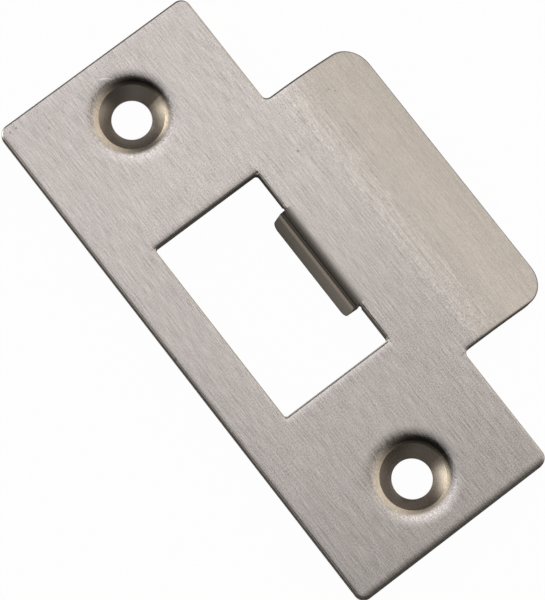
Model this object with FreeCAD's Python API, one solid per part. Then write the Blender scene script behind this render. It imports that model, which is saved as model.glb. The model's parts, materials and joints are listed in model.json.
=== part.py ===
import FreeCAD, Part
import math
import os

# A strike plate for a door latch, pressed from one piece of sheet metal.
# X points to the lip, Y runs along the plate, Z points out of the visible face.
# The origin is the middle of the screw pattern, on the back of the plate.

# Sheet
sheet = 1.2             # thickness
edge_roll = 0.25        # rounding that the punch leaves along the visible face's edges

# Plate
plate_length = 57.0
plate_width = 22.4
plate_corner = 1.0

# Lip that leads the latch bolt in
lip_span = 30.9         # along the plate
lip_flat = 0.5          # level stretch past the plate's edge, before the curve
lip_radius = 22.6       # curve of the upper face
lip_run = 10.7          # length of the curve, measured on the upper face
lip_corner = 2.8
lip_root = 0.6          # inside corners between lip and plate

# Latch hole
hole_width = 12.3
hole_length = 20.4
hole_corner = 0.35

# Tab bent down from the lip side of the latch hole
tab_span = 11.5
tab_setback = 0.73      # from the hole's edge to where the bend starts
tab_lead_radius = 1.8   # first, gentle part of the bend, on the inner face
tab_lead_angle = 22.0
tab_crest = 0.5         # second, tight part of the bend, on the visible face
tab_angle = 73.0        # of the tab below the plate
tab_reach = 2.62        # straight part past the bend
tab_corner = 0.8
tab_relief = 0.25       # radius of the relief at each end of the tab's root
tab_relief_inset = 0.17 # of the relief's centre, from the hole's edge into the hole

# Pressed screw holes
screw_spacing = 43.9
screw_bore = 3.95       # diameter
seat_diameter = 6.4     # top of the conical seat
seat_angle = 45.0       # of the seat below the face
rim_width = 1.25        # of the rounded rim where the face sinks to the seat
rim_angle = 28.0        # of the rim below the face, where it meets the seat
bore_land = 0.34        # straight wall of the bore, below the seat

margin = 5.0            # by which the cutting bodies overshoot

origin = FreeCAD.Vector(0, 0, 0)
along_y = FreeCAD.Vector(0, 1, 0)
along_z = FreeCAD.Vector(0, 0, 1)


def in_plan(x, y):
    return FreeCAD.Vector(x, y, 0)


def in_section(x, z):
    return FreeCAD.Vector(x, 0, z)


def line(start, end):
    return Part.LineSegment(start, end).toShape()


def arc(start, middle, end):
    return Part.Arc(start, middle, end).toShape()


def rounded_prism(corners, bottom, top):
    """Upright prism whose plan is a polygon of (x, y, corner radius)."""
    edges = []
    previous_end = None
    first_start = None
    for number, (x, y, radius) in enumerate(corners):
        corner = in_plan(x, y)
        before = in_plan(*corners[number - 1][:2])
        after = in_plan(*corners[(number + 1) % len(corners)][:2])
        to_before = (before - corner).normalize()
        to_after = (after - corner).normalize()
        half_angle = to_before.getAngle(to_after) / 2
        tangent = radius / math.tan(half_angle)
        bisector = (to_before + to_after).normalize()
        start = corner + to_before * tangent
        end = corner + to_after * tangent
        middle = corner + bisector * (radius / math.sin(half_angle) - radius)
        if previous_end is not None:
            edges.append(line(previous_end, start))
        else:
            first_start = start
        edges.append(arc(start, middle, end))
        previous_end = end
    edges.append(line(previous_end, first_start))
    face = Part.Face(Part.Wire(edges))
    face.translate(along_z * bottom)
    return face.extrude(along_z * (top - bottom))


def section_bar(edges, span):
    """Bar of the given section in XZ, centred along Y."""
    bar = Part.Face(Part.Wire(edges)).extrude(along_y * span)
    bar.translate(along_y * (-span / 2))
    return bar


def rounded_end(body, tip, heading, span, radius):
    """Round both corners of a strip's free end. Heading is in degrees below +X."""
    side = span / 2
    overshoot = side + margin
    turn = radius * math.sqrt(0.5)
    trim_edges = [
        arc(
            in_plan(-radius, side),
            in_plan(-radius + turn, side - radius + turn),
            in_plan(0, side - radius),
        ),
        line(in_plan(0, side - radius), in_plan(margin, side - radius)),
        line(in_plan(margin, side - radius), in_plan(margin, overshoot)),
        line(in_plan(margin, overshoot), in_plan(-radius, overshoot)),
        line(in_plan(-radius, overshoot), in_plan(-radius, side)),
    ]
    trim = Part.Face(Part.Wire(trim_edges))
    trim.translate(along_z * -margin)
    trim = trim.extrude(along_z * (2 * margin))
    for piece in (trim, trim.mirror(origin, along_y)):
        piece.rotate(origin, along_y, heading)
        piece.translate(tip)
        body = body.cut(piece)
    return body


def plate_and_lip():
    """Flat plate with the lip curving down from one long edge."""
    left = -plate_width / 2
    bend_x = plate_width / 2 + lip_flat
    centre = in_section(bend_x, sheet - lip_radius)
    angle = lip_run / lip_radius

    def on_lip(turn, radius):
        return centre + in_section(radius * math.sin(turn), radius * math.cos(turn))

    under_radius = lip_radius - sheet
    edges = [
        line(in_section(left, 0), in_section(left, sheet)),
        line(in_section(left, sheet), in_section(bend_x, sheet)),
        arc(in_section(bend_x, sheet), on_lip(angle / 2, lip_radius), on_lip(angle, lip_radius)),
        line(on_lip(angle, lip_radius), on_lip(angle, under_radius)),
        arc(on_lip(angle, under_radius), on_lip(angle / 2, under_radius), in_section(bend_x, 0)),
        line(in_section(bend_x, 0), in_section(left, 0)),
    ]
    bar = section_bar(edges, plate_length)
    right = plate_width / 2
    far = bend_x + lip_run + margin
    end = plate_length / 2
    lip_end = lip_span / 2
    outline = [
        (left, -end, plate_corner),
        (right, -end, plate_corner),
        (right, -lip_end, lip_root),
        (far, -lip_end, lip_root),
        (far, lip_end, lip_root),
        (right, lip_end, lip_root),
        (right, end, plate_corner),
        (left, end, plate_corner),
    ]
    blank = bar.common(rounded_prism(outline, -lip_run - margin, sheet + margin))
    return rounded_end(blank, on_lip(angle, lip_radius), math.degrees(angle), lip_span, lip_corner)


def cut_latch_hole(body):
    """Rectangular hole for the latch bolt."""
    half_width = hole_width / 2
    half_length = hole_length / 2
    corners = [
        (-half_width, -half_length, hole_corner),
        (half_width, -half_length, hole_corner),
        (half_width, half_length, hole_corner),
        (-half_width, half_length, hole_corner),
    ]
    return body.cut(rounded_prism(corners, -margin, sheet + margin))


def is_upper_face(face):
    """The level visible face, or the lip's curved upper face."""
    surface = face.Surface
    if isinstance(surface, Part.Plane):
        return abs(face.CenterOfMass.z - sheet) < Part.Precision.confusion()
    if isinstance(surface, Part.Cylinder):
        return abs(surface.Radius - lip_radius) < Part.Precision.confusion()
    return False


def roll_edges(body):
    """Round every edge where the visible face meets the sheared wall."""
    upper_edges = [edge for face in body.Faces if is_upper_face(face) for edge in face.Edges]
    rim = [edge for edge in upper_edges if sum(edge.isSame(other) for other in upper_edges) == 1]
    return body.makeFillet(edge_roll, rim)


def press_screw_hole(body, y):
    """Sunk screw hole: the sheet dips round a conical seat and stands proud at the back."""
    bore = screw_bore / 2
    seat = seat_diameter / 2
    rim = seat + rim_width
    rim_turn = math.radians(rim_angle)
    rim_radius = rim_width / math.sin(rim_turn)
    centre = in_section(rim, sheet - rim_radius)

    def on_rim(turn, radius):
        return centre + in_section(-radius * math.sin(turn), radius * math.cos(turn))

    seat_slope = math.tan(math.radians(seat_angle))
    seat_top = on_rim(rim_turn, rim_radius)
    seat_foot = in_section(bore, seat_top.z - (seat - bore) * seat_slope)
    under_radius = rim_radius - sheet
    under_top = on_rim(rim_turn, under_radius)
    bottom = seat_foot.z - bore_land
    under_foot = in_section(under_top.x - (under_top.z - bottom) / seat_slope, bottom)

    boss_edges = [
        line(in_section(0, sheet / 2), in_section(rim, sheet / 2)),
        line(in_section(rim, sheet / 2), in_section(rim, 0)),
        arc(in_section(rim, 0), on_rim(rim_turn / 2, under_radius), under_top),
        line(under_top, under_foot),
        line(under_foot, in_section(0, bottom)),
        line(in_section(0, bottom), in_section(0, sheet / 2)),
    ]
    sink_edges = [
        line(in_section(0, sheet + margin), in_section(rim, sheet + margin)),
        line(in_section(rim, sheet + margin), in_section(rim, sheet)),
        arc(in_section(rim, sheet), on_rim(rim_turn / 2, rim_radius), seat_top),
        line(seat_top, seat_foot),
        line(seat_foot, in_section(bore, bottom - margin)),
        line(in_section(bore, bottom - margin), in_section(0, bottom - margin)),
        line(in_section(0, bottom - margin), in_section(0, sheet + margin)),
    ]
    full_turn = 360
    boss = Part.Face(Part.Wire(boss_edges)).revolve(origin, along_z, full_turn)
    sink = Part.Face(Part.Wire(sink_edges)).revolve(origin, along_z, full_turn)
    boss.translate(along_y * y)
    sink.translate(along_y * y)
    return body.fuse(boss).cut(sink)


def bend_tab(body):
    """Tab bent down out of the latch hole's edge, with a small relief at each end of its root."""
    edge_x = hole_width / 2
    root_x = edge_x + tab_setback
    lead = math.radians(tab_lead_angle)
    final = math.radians(tab_angle)

    def outward(turn):
        return in_section(-math.sin(turn), math.cos(turn))

    lead_radius = tab_lead_radius + sheet
    lead_centre = in_section(root_x, sheet - lead_radius)
    lead_end = lead_centre + outward(lead) * lead_radius
    crest_centre = lead_end - outward(lead) * tab_crest
    crest_end = crest_centre + outward(final) * tab_crest
    upward = in_section(math.cos(final), math.sin(final))
    tip = crest_end - upward * tab_reach
    inner_tip = tip - outward(final) * sheet
    from_centre = inner_tip - lead_centre
    foot = from_centre.dot(upward)
    climb = math.sqrt(foot ** 2 + tab_lead_radius ** 2 - from_centre.dot(from_centre)) - foot
    inner_corner = inner_tip + upward * climb
    corner_turn = math.asin((root_x - inner_corner.x) / tab_lead_radius)
    edges = [
        arc(in_section(root_x, sheet), lead_centre + outward(lead / 2) * lead_radius, lead_end),
        arc(lead_end, crest_centre + outward((lead + final) / 2) * tab_crest, crest_end),
        line(crest_end, tip),
        line(tip, inner_tip),
        line(inner_tip, inner_corner),
        arc(
            inner_corner,
            lead_centre + outward(corner_turn / 2) * tab_lead_radius,
            in_section(root_x, 0),
        ),
        line(in_section(root_x, 0), in_section(root_x, sheet)),
    ]
    half_turn = 180
    tab = rounded_end(section_bar(edges, tab_span), tip, half_turn - tab_angle, tab_span, tab_corner)
    pocket = Part.makeBox(
        root_x, tab_span, sheet + 2 * margin, FreeCAD.Vector(0, -tab_span / 2, -margin)
    )
    body = body.cut(pocket).fuse(tab)
    for side in (-1, 1):
        relief_centre = FreeCAD.Vector(
            edge_x - tab_relief_inset, side * (tab_span / 2 + tab_relief), -margin
        )
        body = body.cut(Part.makeCylinder(tab_relief, sheet + 2 * margin, relief_centre))
    return body


strike_plate = cut_latch_hole(plate_and_lip())
strike_plate = roll_edges(strike_plate)
for side in (-1, 1):
    strike_plate = press_screw_hole(strike_plate, side * screw_spacing / 2)
strike_plate = bend_tab(strike_plate).removeSplitter()

os.makedirs("parts", exist_ok=True)
strike_plate.Solids[0].exportStep("parts/strike_plate.step")
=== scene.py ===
import json
import math

import bpy
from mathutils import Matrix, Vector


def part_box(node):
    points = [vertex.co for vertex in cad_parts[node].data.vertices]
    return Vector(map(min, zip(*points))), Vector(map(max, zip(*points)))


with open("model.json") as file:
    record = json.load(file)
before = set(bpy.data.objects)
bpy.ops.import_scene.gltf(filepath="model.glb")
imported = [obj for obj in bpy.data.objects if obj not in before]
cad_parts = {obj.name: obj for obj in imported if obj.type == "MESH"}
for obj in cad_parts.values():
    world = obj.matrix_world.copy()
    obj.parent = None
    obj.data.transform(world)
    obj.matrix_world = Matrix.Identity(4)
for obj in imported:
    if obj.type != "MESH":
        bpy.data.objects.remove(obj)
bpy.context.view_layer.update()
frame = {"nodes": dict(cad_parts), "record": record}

# Strike plate
# One blank of thin steel sheet, sheared to its outline, with two screw holes pressed to countersunk seats.
# Its lip and tab are bent down, and the visible side is brushed along the plate after bending.
mm = 0.001
plate = frame["nodes"]["strike_plate"]
plate_low, plate_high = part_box("strike_plate")
sheet = plate_high.z
half_width = -plate_low.x
half_length = plate_high.y
lip_half_span = 15.45 * mm
lip_bend = half_width + 0.5 * mm
lip_radius = 22.6 * mm
hole_half_width = 6.15 * mm
hole_half_length = 10.2 * mm
tab_half_span = 5.75 * mm
tab_tip = 4.5 * mm
tab_crest = 5.42 * mm
tab_root = 6.88 * mm
screw_mount = [m for m in frame["record"]["mounts"] if m["name"] == "screw_holes"][0]
screw_offset = screw_mount["dims"]["spacing_y_mm"] * mm / 2
seat_radius = 3.2 * mm
rim_radius = 4.45 * mm


class Finish:
    """A socket of a finish: expressions on it add Math nodes to the same tree."""

    def __init__(self, tree, socket=None):
        self.tree = tree
        self.socket = socket

    def node(self, kind, settings=None, sockets=None, out=0):
        """Adds a node: its settings first, then the values or links of its sockets."""
        made = self.tree.nodes.new(kind)
        for name, value in (settings or {}).items():
            setattr(made, name, value)
        for name, value in (sockets or {}).items():
            if isinstance(value, Finish):
                self.tree.links.new(value.socket, made.inputs[name])
            else:
                made.inputs[name].default_value = value
        return Finish(self.tree, made.outputs[out] if made.outputs else None)

    def math(self, operation, *others):
        return self.node("ShaderNodeMath", {"operation": operation}, dict(enumerate((self,) + others)))

    def __add__(self, other):
        return self.math("ADD", other)

    __radd__ = __add__

    def __sub__(self, other):
        return self.math("SUBTRACT", other)

    def __rsub__(self, other):
        return (self * -1) + other

    def __mul__(self, other):
        return self.math("MULTIPLY", other)

    __rmul__ = __mul__

    def __abs__(self):
        return self.math("ABSOLUTE")

    def axis(self, name):
        """The X, Y or Z of this vector."""
        return self.node("ShaderNodeSeparateXYZ", sockets={0: self}, out=name)

    def vector(self, operation, sockets, out=0):
        """Vector maths, with its sockets by place or name."""
        return self.node("ShaderNodeVectorMath", {"operation": operation}, sockets, out)

    def ramp(self, start, end, kind="SMOOTHSTEP"):
        """0 up to start, 1 from end on, and a slope between them."""
        return self.node(
            "ShaderNodeMapRange",
            {"interpolation_type": kind},
            {"Value": self, "From Min": start, "From Max": end},
        )

    def between(self, first, second):
        """A colour that turns from the first into the second as this value goes from 0 to 1."""
        return self.node(
            "ShaderNodeMix", {"data_type": "RGBA"}, {"Factor": self, 6: first, 7: second}, out=2
        )

    def blend(self, other, share):
        """This colour turning into the other colour as share goes from 0 to 1."""
        return share.between(self, other)


brushed = bpy.data.materials.new("brushed_metal")
brushed.use_nodes = True
brushed.node_tree.nodes.clear()
tree = Finish(brushed.node_tree)
coords = tree.node("ShaderNodeTexCoord", out="Object")
facing = tree.node("ShaderNodeTexCoord", out="Normal")
across, along, height = [coords.axis(name) for name in "XYZ"]
lean_x, lean_y, slope = [facing.axis(name) for name in "XYZ"]
from_middle = abs(along)


def pair(x, y):
    return tree.node("ShaderNodeCombineXYZ", sockets={"X": x, "Y": y})


def length(x, y):
    return tree.vector("LENGTH", {0: pair(x, y)}, "Value")


def noise(vector, detail, seed):
    """Soft random tone, 0 on average."""
    cloud = tree.node(
        "ShaderNodeTexNoise",
        {"noise_dimensions": "4D"},
        {"Vector": vector, "W": seed, "Scale": 1.0, "Detail": detail, "Roughness": 0.55},
        out="Fac",
    )
    return cloud - 0.5


def stretched(wide, long, deep):
    """Places on the plate, counted in marks of this width, length and depth."""
    return tree.vector("MULTIPLY", {0: coords, 1: (1 / wide, 1 / long, 1 / deep)})


def grain(wide, long, detail, seed):
    """Marks drawn out along the plate, with their width and length."""
    return noise(stretched(wide, long, wide), detail, seed)


# Where each working of the sheet shows: brushed face, pressed seats, bent tab, sheared walls, untouched back.
screw_distance = length(across, from_middle - screw_offset)
open_face = screw_distance.ramp(seat_radius, rim_radius - 0.5 * mm)
seat = 1 - screw_distance.ramp(seat_radius - 0.1 * mm, seat_radius + 0.1 * mm)
on_tab = (
    (1 - from_middle.ramp(tab_half_span, tab_half_span + 0.05 * mm))
    * (1 - across.ramp(tab_root - 0.6 * mm, tab_root))
    * across.ramp(tab_tip - 0.3 * mm, tab_tip - 0.2 * mm)
)
steep, flat = 0.55, 0.9
upward = slope.ramp(steep, flat)
downward = slope.ramp(-steep, -flat)
sheared = (1 - abs(slope).ramp(0.15, 0.7)) * (1 - on_tab) * (1 - seat)
brushing = upward * open_face * (1 - on_tab)

# The belt's lines: long streaks, fine lines, short specks between them, and broad faint bands.
# They are half worn away on the lip. A painted highlight lies where the lip bends, and painted shade at its
# outer edge and at both ends of the face.
streaks = grain(0.075 * mm, 14.0 * mm, 0.0, 9.0)
fine_lines = grain(0.07 * mm, 1.7 * mm, 0.0, 1.0)
specks = grain(0.10 * mm, 0.15 * mm, 0.0, 5.0)
bands = grain(1.6 * mm, 22.0 * mm, 1.0, 13.0)
fine_share, speck_share, streak_share, band_share = 0.72, 1.0, 0.56, 0.10
lines = fine_lines * fine_share + specks * speck_share + streaks * streak_share + bands * band_share
worn_smooth = across.ramp(13.0 * mm, 17.0 * mm)
worn_share = 0.5
# Painted light: a painted highlight on the lip's bend, and painted shade at the lip's outer edge and at the
# face's two ends.
painted_end_shade = from_middle.ramp(14.0 * mm, 28.0 * mm)
painted_lip_highlight = 1 - abs(across - 14.0 * mm).ramp(0.4 * mm, 1.6 * mm)
painted_lip_shade = across.ramp(17.5 * mm, 20.5 * mm)
crown_gain, lip_end_loss, end_loss = 0.05, 0.08, 0.07
painted_light_and_shade = painted_lip_highlight * crown_gain - painted_lip_shade * lip_end_loss - painted_end_shade * end_loss
even_tone = 0.5
tone = lines * brushing * (1 - worn_smooth * worn_share) + painted_light_and_shade + even_tone
face_dark = (0.30, 0.276, 0.265, 1)
face_light = (0.82, 0.758, 0.730, 1)
colour = tone.between(face_dark, face_light)

# The press leaves the seats browner, with faint rings.
ring_width = 0.07 * mm
to_screw = tree.vector("NORMALIZE", {0: pair(across, from_middle - screw_offset)})
ring_count = tree.node("ShaderNodeCombineXYZ", sockets={"Z": screw_distance * (1 / ring_width)})
rings = noise(tree.vector("ADD", {0: to_screw, 1: ring_count}), 1.0, 17.0)
ring_share, pressed_line_share = 0.6, 0.8
pressed_tone = rings * seat * ring_share + (fine_lines + specks) * pressed_line_share + even_tone
pressed_dark = (0.40, 0.338, 0.270, 1)
pressed_light = (0.74, 0.635, 0.525, 1)
colour = colour.blend(pressed_tone.between(pressed_dark, pressed_light), (1 - open_face) * upward)

# Painted shade darkens the tab towards its tip and one end, over its own specks and lines. Its bend has
# painted shade in the crease and a painted highlight along the crest.
tab_tip_painted_shade, tab_end_painted_shade = 0.5, 0.4
tab_speck_share, tab_line_share = 0.5, 0.3
# Painted shade towards the tab's tip and its +Y end, mixed with the tab's real specks and lines.
tab_grain_and_painted_shade = (
    (1 - across.ramp(tab_tip - 0.2 * mm, tab_crest, "LINEAR")) * tab_tip_painted_shade
    + along.ramp(-6.0 * mm, 6.0 * mm) * tab_end_painted_shade
    + specks * tab_speck_share
    + fine_lines * tab_line_share
)
tab_light = (0.54, 0.492, 0.445, 1)
tab_painted_shade_colour = (0.22, 0.197, 0.172, 1)
tab_colour = tab_grain_and_painted_shade.between(tab_light, tab_painted_shade_colour)
# Painted shade: a dark line in the crease between the tab's crest and the plate.
painted_crease_shade = 1 - abs(across - (tab_crest + 0.27 * mm)).ramp(0.08 * mm, 0.3 * mm)
painted_crease_shade_colour = (0.10, 0.09, 0.078, 1)
# Painted highlight: a pale line along the tab's crest.
painted_crest_highlight = 1 - abs(across - tab_crest).ramp(0.02 * mm, 0.16 * mm)
painted_crest_highlight_colour = (0.88, 0.76, 0.65, 1)
painted_bend_share = 0.8
tab_colour = tab_colour.blend(painted_crease_shade_colour, painted_crease_shade * painted_bend_share)
tab_colour = tab_colour.blend(painted_crest_highlight_colour, painted_crest_highlight * painted_bend_share)
colour = colour.blend(tab_colour, on_tab)

# The back keeps the mill's dull finish: long faint roller lines and cloudy patches.
patch_size = 5.0 * mm
back_clouds = noise(stretched(patch_size, patch_size, patch_size), 3.0, 21.0)
roller_lines = grain(0.3 * mm, 40.0 * mm, 2.0, 25.0)
cloud_share, roller_share, back_speck_share = 0.5, 0.6, 0.3
back_tone = back_clouds * cloud_share + roller_lines * roller_share + specks * back_speck_share + even_tone
back_dark = (0.33, 0.305, 0.285, 1)
back_light = (0.6, 0.555, 0.52, 1)
colour = colour.blend(back_tone.between(back_dark, back_light), downward)

# The sheared walls: drawn smooth by the punch next to the visible face, torn and darker towards the back.
lip_depth = lip_radius - length((across - lip_bend).math("MAXIMUM", 0), height - (sheet - lip_radius))
drag_width, drag_length = 0.12 * mm, 1.5 * mm
drag_lines = noise(stretched(drag_width, drag_width, drag_length), 1.0, 29.0)
ragged = 0.25 * mm
torn = (lip_depth + drag_lines * ragged).ramp(0.55 * sheet, 0.75 * sheet) * sheared
drag_share = 0.5
drawn_colour = (0.26, 0.235, 0.21, 1)
torn_colour = (0.14, 0.125, 0.11, 1)
colour = colour.blend((torn + drag_lines * drag_share).between(drawn_colour, torn_colour), sheared)

# The turned edges between face and walls carry painted shade, most towards the near left, and a painted
# highlight at the far end.
turned_edge = slope.ramp(0.1, 0.5) * (1 - slope.ramp(0.55, 0.85)) * open_face * (1 - on_tab)
near_left = (lean_x + lean_y).ramp(-0.1, -0.5)
far_end = lean_y.ramp(0.1, 0.5)
near_end = (along + half_length).ramp(0.6 * mm, 0.1 * mm)
painted_edge_shade_colour = (0.09, 0.08, 0.07, 1)
painted_edge_highlight_colour = (0.86, 0.80, 0.73, 1)
dark_share, near_left_share, painted_highlight_share, near_end_share = 0.3, 0.65, 0.8, 0.45
# Painted shade on the turned edges, strongest at the near left, none at the far end.
painted_edge_shade = turned_edge * (near_left * near_left_share + dark_share) * (1 - far_end)
colour = colour.blend(painted_edge_shade_colour, painted_edge_shade)
colour = colour.blend(painted_edge_highlight_colour, turned_edge * far_end * painted_highlight_share)
# Painted shade along the face at its near end.
colour = colour.blend(painted_edge_shade_colour, near_end * upward * near_end_share)

# Marks of handling on the face: small dark specks. Beside a screw hole lies one pale curved line.
in_plan = pair(across, along)


def spot(x, y, radius):
    """1 at a place on the face, fading to 0 at the radius."""
    reach = tree.vector("DISTANCE", {0: in_plan, 1: (x, y, 0)}, "Value")
    return 1 - reach.ramp(0.3 * radius, radius)


dark_specks = [
    (10.61, 9.56, 0.17),
    (16.76, 12.71, 0.12),
    (17.24, 12.23, 0.10),
    (-10.28, 27.66, 0.16),
    (-9.53, 27.71, 0.14),
    (-7.05, 25.76, 0.13),
    (-11.08, 0.53, 0.22),
    (6.20, -7.65, 0.16),
]
speckled = sum(spot(x * mm, y * mm, radius * mm) for x, y, radius in dark_specks)
speck_colour = (0.16, 0.145, 0.135, 1)
pale_arc_x, pale_arc_y, pale_arc_radius = -1.25 * mm, 24.22 * mm, 2.65 * mm
pale_arc_gap = abs(length(across - pale_arc_x, along - pale_arc_y) - pale_arc_radius)
pale_arc = (1 - pale_arc_gap.ramp(0.03 * mm, 0.1 * mm)) * spot(0.3 * mm, 26.36 * mm, 0.95 * mm)
pale_arc_colour = (0.86, 0.8, 0.76, 1)
speck_depth, pale_arc_depth = 0.7, 0.9
colour = colour.blend(speck_colour, speckled * upward * speck_depth)
colour = colour.blend(pale_arc_colour, pale_arc * upward * pale_arc_depth)


# The belt rolls the face over towards its edges, most at those that lie across its run.
def rolled(gap, reach, lean):
    """Height that the face loses towards an edge: how far the roll reaches, and its lean at the edge."""
    near = gap.ramp(reach, 0, "LINEAR")
    return near * near * near * (reach * lean / 3)


end_reach, side_reach, rim_reach = 0.95 * mm, 0.7 * mm, 0.6 * mm
near_end_lean, far_end_lean, hole_end_lean, lip_end_lean = 0.3, 0.045, 0.16, 0.09
left_lean, right_lean, hole_side_lean, rim_lean = 0.26, 0.16, 0.14, 0.06
beside_hole = 1 - from_middle.ramp(hole_half_length, hole_half_length + 0.2 * mm)
before_hole = (1 - abs(across).ramp(hole_half_width, hole_half_width + 0.2 * mm)) * (
    from_middle.ramp(hole_half_length - 0.2 * mm, hole_half_length)
)
beside_lip = across.ramp(half_width, half_width + 0.3 * mm)
clear_of_lip = from_middle.ramp(lip_half_span, lip_half_span + 0.3 * mm)
beside_tab = across.ramp(0, 1.0 * mm) * from_middle.ramp(tab_half_span + 0.6 * mm, tab_half_span + 0.2 * mm)
roll_over = (
    rolled(half_length + along, end_reach, near_end_lean)
    + rolled(half_length - along, end_reach, far_end_lean)
    + rolled(from_middle - hole_half_length, end_reach, hole_end_lean) * before_hole
    + rolled(lip_half_span - from_middle, end_reach, lip_end_lean) * beside_lip
    + rolled(across + half_width, side_reach, left_lean)
    + rolled(half_width - across, side_reach, right_lean) * clear_of_lip
    + rolled(abs(across) - hole_half_width, side_reach, hole_side_lean) * beside_hole * (1 - beside_tab)
    + rolled(screw_distance - rim_radius, rim_reach, rim_lean)
)

# Relief and gloss: the press flattens the brush lines round the screw holes and burnishes their rims.
line_height, ring_height, drag_height = 0.0012 * mm, 0.002 * mm, 0.01 * mm
flattened = screw_distance.ramp(rim_radius + 0.4 * mm, rim_radius - 0.3 * mm)
flattened_share = 0.7
line_relief = (fine_lines + specks) * (line_height * (1 - flattened * flattened_share))
pressed_relief = rings * seat * ring_height
wall_relief = drag_lines * sheared * drag_height
bump = tree.node(
    "ShaderNodeBump",
    sockets={
        "Strength": 1.0,
        "Distance": 1.0,
        "Height": (line_relief - roll_over) * upward + (pressed_relief + wall_relief),
    },
)
burnished_rim = screw_distance.ramp(seat_radius + 0.1 * mm, seat_radius + 0.4 * mm) * (
    screw_distance.ramp(rim_radius - 0.1 * mm, rim_radius - 0.7 * mm)
)
bare_roughness, rim_gloss = 0.26, 0.12
brush_roughness, streak_roughness = 0.04, 0.15
mill_roughness, cloud_roughness = 0.14, 0.2
wall_roughness, torn_roughness = 0.1, 0.15
roughness = (
    bare_roughness
    - burnished_rim * rim_gloss
    + brushing * (brush_roughness + streaks * streak_roughness)
    + downward * (mill_roughness + back_clouds * cloud_roughness)
    + sheared * wall_roughness
    + torn * torn_roughness
)
metal = tree.node(
    "ShaderNodeBsdfPrincipled",
    sockets={"Base Color": colour, "Metallic": 1.0, "Roughness": roughness, "Normal": bump},
)
tree.node("ShaderNodeOutputMaterial", sockets={"Surface": metal})
plate.material_slots[0].material = brushed

# Floor
# A plain satin white board, on which the plate lies by its lip, tab and pressed seats.
# It shows white to the eye and a little of that to the metal, and keeps a trace of the plate's shadow.
floor_half = 1.5
bpy.ops.object.select_all(action="DESELECT")
bpy.ops.mesh.primitive_plane_add(size=2 * floor_half, location=(0, 0, plate_low.z))
floor = bpy.context.object
floor.name = "floor"
bpy.ops.object.transform_apply(location=True, rotation=True, scale=True)
board = bpy.data.materials.new("white_board")
board.use_nodes = True
board.node_tree.nodes.clear()
tree = Finish(board.node_tree)
seen = tree.node("ShaderNodeLightPath", out="Is Camera Ray")
mirrored = tree.node("ShaderNodeLightPath", out="Is Glossy Ray")
through = tree.node("ShaderNodeLightPath", out="Is Transmission Ray")
board_colour = (0.45, 0.44, 0.43, 1)
pure_white = (1, 1, 1, 1)
lit = tree.node("ShaderNodeBsdfPrincipled", sockets={"Base Color": board_colour, "Roughness": 0.35})
white = tree.node("ShaderNodeEmission", sockets={"Color": pure_white, "Strength": 1.0})
shadow_kept = 0.02
mirrored_share = 0.05
shown = (seen + through + mirrored * mirrored_share).math("MINIMUM", 1 - shadow_kept)
surface = tree.node("ShaderNodeMixShader", sockets={0: shown, 1: lit, 2: white})
tree.node("ShaderNodeOutputMaterial", sockets={"Surface": surface})
floor.data.materials.append(board)

# Studio light
# A large soft light with a brighter core over the far side, a low warm one to the left of the picture, a broad
# warm one to its right, and a faint glow of the room at the near left.
# Each is a soft patch of the surroundings: compass turn from +X to +Y, height, spread, colour and strength.
lights = [
    (75, 64, 22, (1.0, 1.0, 1.01), 1.12),
    (62, 71, 13, (1.0, 1.0, 1.01), 0.32),
    (128, 20, 29, (1.0, 0.97, 0.87), 2.6),
    (357, 30, 45, (1.0, 0.965, 0.875), 1.05),
    (205, 4, 42, (1.0, 0.95, 0.88), 0.065),
]
room_tone = (0.003, 0.003, 0.003)
world = bpy.data.worlds.new("studio")
bpy.context.scene.world = world
world.use_nodes = True
world.node_tree.nodes.clear()
tree = Finish(world.node_tree)
way = tree.node("ShaderNodeTexCoord", out="Generated")


def towards(aim):
    """1 along the aim, 0 at right angles to it."""
    return tree.vector("DOT_PRODUCT", {0: way, 1: aim}, "Value")


def falling(offset):
    """1 at no offset, falling softly to 0 on both sides."""
    return (offset * offset * -1).math("EXPONENT")


glow = room_tone
for turn, rise, spread, tint, strength in lights:
    turn, rise, spread = math.radians(turn), math.radians(rise), math.radians(spread)
    aim = (math.cos(turn) * math.cos(rise), math.sin(turn) * math.cos(rise), math.sin(rise))
    patch = falling((1 - towards(aim)) * (1 / (1 - math.cos(spread)))) * strength
    glow = tree.vector("ADD", {0: glow, 1: tree.vector("SCALE", {0: tint, "Scale": patch})})

# A dim wall behind the eye keeps the plate from turning black when it is seen from the far side.
wall_tint = (0.33, 0.323, 0.31)
wall_height, wall_spread = 0.485, 0.14
behind = towards((-0.71, -0.71, 0)).ramp(0.1, 0.6)
wall = falling((way.axis("Z") - wall_height) * (1 / wall_spread)) * behind
glow = tree.vector("ADD", {0: glow, 1: tree.vector("SCALE", {0: wall_tint, "Scale": wall})})
seen = tree.node("ShaderNodeLightPath", out="Is Camera Ray")
surroundings = tree.node("ShaderNodeBackground", sockets={"Color": glow, "Strength": 1.0})
backdrop = tree.node("ShaderNodeBackground", sockets={"Color": pure_white, "Strength": 1.0})
sky = tree.node("ShaderNodeMixShader", sockets={0: seen, 1: surroundings, 2: backdrop})
tree.node("ShaderNodeOutputWorld", sockets={"Surface": sky})
bpy.context.scene.view_settings.view_transform = "Standard"

# Camera
# It looks down on the face from the near left, with the plate turned on the picture as in the photograph.
# Its place, turn and lens come from the plate's corners and holes in the 545 by 600 frame.
camera_place = (-46.310 * mm, -44.892 * mm, 325.933 * mm)
camera_turn = (11.0268, -1.6567, -37.6250)
lens = 208.8625
nearest_seen = 10 * mm
bpy.ops.object.select_all(action="DESELECT")
bpy.ops.object.camera_add(location=camera_place, rotation=[math.radians(angle) for angle in camera_turn])
camera = bpy.context.object
camera.data.lens = lens
camera.data.clip_start = nearest_seen
bpy.context.scene.camera = camera
